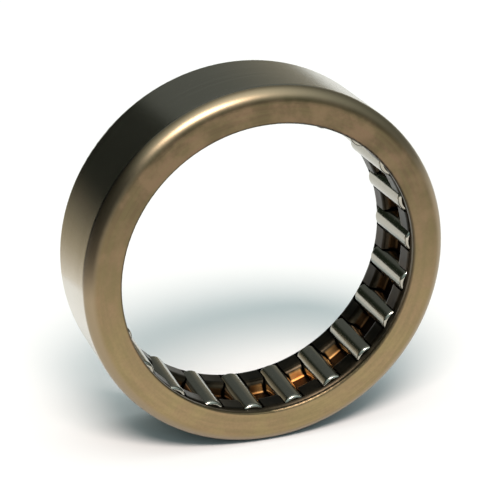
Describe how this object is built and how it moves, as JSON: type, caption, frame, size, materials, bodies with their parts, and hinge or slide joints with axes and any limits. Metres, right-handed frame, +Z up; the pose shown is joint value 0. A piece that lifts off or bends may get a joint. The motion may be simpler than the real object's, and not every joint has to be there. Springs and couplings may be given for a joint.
{
  "type": "needle roller bearing",
  "caption": "Open-ended drawn cup needle roller bearing: a lipped steel ring holding a bent sheet cage of slim cylindrical rollers that run straight on a shaft.",
  "frame": {"origin": "centre of the bearing, on its axis and midway between its two end faces", "axes": "+Y along the bearing's axis from the front lip to the rear lip, +Z up as the bearing stands on its rim, +X to the right seen from the front lip"},
  "size_m": [0.048, 0.014, 0.048],
  "materials": {
    "cup_steel": "heat-tinted bronze-brown, satin",
    "cage_steel": "blackened, oily satin, copper-tinted in the recesses",
    "roller_steel": "ground and polished"
  },
  "bodies": {
    "cup": {"outer_cup": "cup_steel"},
    "cage": {"cage": "cage_steel"},
    "roller_01": {"needle_roller_01": "roller_steel"},
    "roller_02": {"needle_roller_02": "roller_steel"},
    "roller_03": {"needle_roller_03": "roller_steel"},
    "roller_04": {"needle_roller_04": "roller_steel"},
    "roller_05": {"needle_roller_05": "roller_steel"},
    "roller_06": {"needle_roller_06": "roller_steel"},
    "roller_07": {"needle_roller_07": "roller_steel"},
    "roller_08": {"needle_roller_08": "roller_steel"},
    "roller_09": {"needle_roller_09": "roller_steel"},
    "roller_10": {"needle_roller_10": "roller_steel"},
    "roller_11": {"needle_roller_11": "roller_steel"},
    "roller_12": {"needle_roller_12": "roller_steel"},
    "roller_13": {"needle_roller_13": "roller_steel"},
    "roller_14": {"needle_roller_14": "roller_steel"},
    "roller_15": {"needle_roller_15": "roller_steel"},
    "roller_16": {"needle_roller_16": "roller_steel"},
    "roller_17": {"needle_roller_17": "roller_steel"},
    "roller_18": {"needle_roller_18": "roller_steel"},
    "roller_19": {"needle_roller_19": "roller_steel"},
    "roller_20": {"needle_roller_20": "roller_steel"},
    "roller_21": {"needle_roller_21": "roller_steel"},
    "roller_22": {"needle_roller_22": "roller_steel"}
  },
  "joints": [
    {"name": "cage_spin", "type": "hinge", "parent": "cup", "child": "cage", "pos_m": [0, 0, 0], "axis": [0, 1, 0], "continuous": true},
    {"name": "roller_01_spin", "type": "hinge", "parent": "cage", "child": "roller_01", "pos_m": [0.02072, 0, 0.00109], "axis": [0, 1, 0], "continuous": true},
    {"name": "roller_02_spin", "type": "hinge", "parent": "cage", "child": "roller_02", "pos_m": [0.01958, 0, 0.00688], "axis": [0, 1, 0], "continuous": true},
    {"name": "roller_03_spin", "type": "hinge", "parent": "cage", "child": "roller_03", "pos_m": [0.01684, 0, 0.01212], "axis": [0, 1, 0], "continuous": true},
    {"name": "roller_04_spin", "type": "hinge", "parent": "cage", "child": "roller_04", "pos_m": [0.01275, 0, 0.01637], "axis": [0, 1, 0], "continuous": true},
    {"name": "roller_05_spin", "type": "hinge", "parent": "cage", "child": "roller_05", "pos_m": [0.00762, 0, 0.0193], "axis": [0, 1, 0], "continuous": true},
    {"name": "roller_06_spin", "type": "hinge", "parent": "cage", "child": "roller_06", "pos_m": [0.00187, 0, 0.02067], "axis": [0, 1, 0], "continuous": true},
    {"name": "roller_07_spin", "type": "hinge", "parent": "cage", "child": "roller_07", "pos_m": [-0.00402, 0, 0.02036], "axis": [0, 1, 0], "continuous": true},
    {"name": "roller_08_spin", "type": "hinge", "parent": "cage", "child": "roller_08", "pos_m": [-0.0096, 0, 0.0184], "axis": [0, 1, 0], "continuous": true},
    {"name": "roller_09_spin", "type": "hinge", "parent": "cage", "child": "roller_09", "pos_m": [-0.01439, 0, 0.01495], "axis": [0, 1, 0], "continuous": true},
    {"name": "roller_10_spin", "type": "hinge", "parent": "cage", "child": "roller_10", "pos_m": [-0.01802, 0, 0.01029], "axis": [0, 1, 0], "continuous": true},
    {"name": "roller_11_spin", "type": "hinge", "parent": "cage", "child": "roller_11", "pos_m": [-0.02019, 0, 0.0048], "axis": [0, 1, 0], "continuous": true},
    {"name": "roller_12_spin", "type": "hinge", "parent": "cage", "child": "roller_12", "pos_m": [-0.02072, 0, -0.00109], "axis": [0, 1, 0], "continuous": true},
    {"name": "roller_13_spin", "type": "hinge", "parent": "cage", "child": "roller_13", "pos_m": [-0.01958, 0, -0.00688], "axis": [0, 1, 0], "continuous": true},
    {"name": "roller_14_spin", "type": "hinge", "parent": "cage", "child": "roller_14", "pos_m": [-0.01684, 0, -0.01212], "axis": [0, 1, 0], "continuous": true},
    {"name": "roller_15_spin", "type": "hinge", "parent": "cage", "child": "roller_15", "pos_m": [-0.01275, 0, -0.01637], "axis": [0, 1, 0], "continuous": true},
    {"name": "roller_16_spin", "type": "hinge", "parent": "cage", "child": "roller_16", "pos_m": [-0.00762, 0, -0.0193], "axis": [0, 1, 0], "continuous": true},
    {"name": "roller_17_spin", "type": "hinge", "parent": "cage", "child": "roller_17", "pos_m": [-0.00187, 0, -0.02067], "axis": [0, 1, 0], "continuous": true},
    {"name": "roller_18_spin", "type": "hinge", "parent": "cage", "child": "roller_18", "pos_m": [0.00402, 0, -0.02036], "axis": [0, 1, 0], "continuous": true},
    {"name": "roller_19_spin", "type": "hinge", "parent": "cage", "child": "roller_19", "pos_m": [0.0096, 0, -0.0184], "axis": [0, 1, 0], "continuous": true},
    {"name": "roller_20_spin", "type": "hinge", "parent": "cage", "child": "roller_20", "pos_m": [0.01439, 0, -0.01495], "axis": [0, 1, 0], "continuous": true},
    {"name": "roller_21_spin", "type": "hinge", "parent": "cage", "child": "roller_21", "pos_m": [0.01802, 0, -0.01029], "axis": [0, 1, 0], "continuous": true},
    {"name": "roller_22_spin", "type": "hinge", "parent": "cage", "child": "roller_22", "pos_m": [0.02019, 0, -0.0048], "axis": [0, 1, 0], "continuous": true}
  ],
  "couplings": [
    {"joint": "roller_01_spin", "follows": "cage_spin", "ratio": -12.869},
    {"joint": "roller_02_spin", "follows": "cage_spin", "ratio": -12.869},
    {"joint": "roller_03_spin", "follows": "cage_spin", "ratio": -12.869},
    {"joint": "roller_04_spin", "follows": "cage_spin", "ratio": -12.869},
    {"joint": "roller_05_spin", "follows": "cage_spin", "ratio": -12.869},
    {"joint": "roller_06_spin", "follows": "cage_spin", "ratio": -12.869},
    {"joint": "roller_07_spin", "follows": "cage_spin", "ratio": -12.869},
    {"joint": "roller_08_spin", "follows": "cage_spin", "ratio": -12.869},
    {"joint": "roller_09_spin", "follows": "cage_spin", "ratio": -12.869},
    {"joint": "roller_10_spin", "follows": "cage_spin", "ratio": -12.869},
    {"joint": "roller_11_spin", "follows": "cage_spin", "ratio": -12.869},
    {"joint": "roller_12_spin", "follows": "cage_spin", "ratio": -12.869},
    {"joint": "roller_13_spin", "follows": "cage_spin", "ratio": -12.869},
    {"joint": "roller_14_spin", "follows": "cage_spin", "ratio": -12.869},
    {"joint": "roller_15_spin", "follows": "cage_spin", "ratio": -12.869},
    {"joint": "roller_16_spin", "follows": "cage_spin", "ratio": -12.869},
    {"joint": "roller_17_spin", "follows": "cage_spin", "ratio": -12.869},
    {"joint": "roller_18_spin", "follows": "cage_spin", "ratio": -12.869},
    {"joint": "roller_19_spin", "follows": "cage_spin", "ratio": -12.869},
    {"joint": "roller_20_spin", "follows": "cage_spin", "ratio": -12.869},
    {"joint": "roller_21_spin", "follows": "cage_spin", "ratio": -12.869},
    {"joint": "roller_22_spin", "follows": "cage_spin", "ratio": -12.869}
  ]
}
